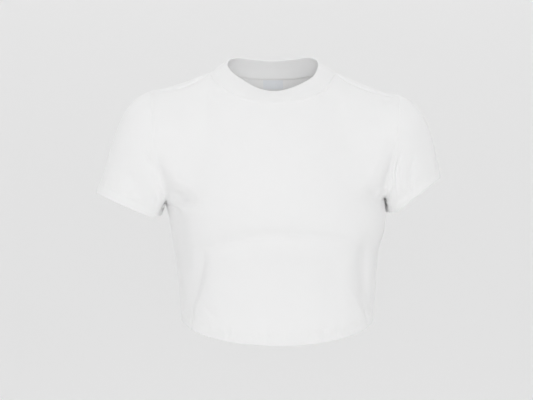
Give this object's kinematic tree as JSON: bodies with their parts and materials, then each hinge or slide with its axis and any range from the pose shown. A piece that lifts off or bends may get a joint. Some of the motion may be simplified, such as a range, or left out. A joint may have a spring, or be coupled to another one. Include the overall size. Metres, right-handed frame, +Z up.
{
  "type": "crop top",
  "caption": "Cropped short-sleeved crew-neck top in plain white jersey, filled out as worn, with a rib neckband and open neck, hem and cuffs.",
  "frame": {"origin": "midway between the two points where the shoulder seams meet the neckband, at the level of the band's top edge at the sides", "axes": "+Z up, -Y out of the garment's front, +X towards the wearer's left"},
  "size_m": [0.5077, 0.2093, 0.4032],
  "materials": {
    "jersey": "matt white cotton jersey, fine knit",
    "rib": "matt white fine rib knit",
    "label_tape": "pale blue-grey satin tape, blank"
  },
  "bodies": {
    "root": {"front": "jersey", "back": "jersey", "sleeve_right": "jersey", "sleeve_left": "jersey", "neckband": "rib", "neck_label": "label_tape"}
  },
  "joints": []
}
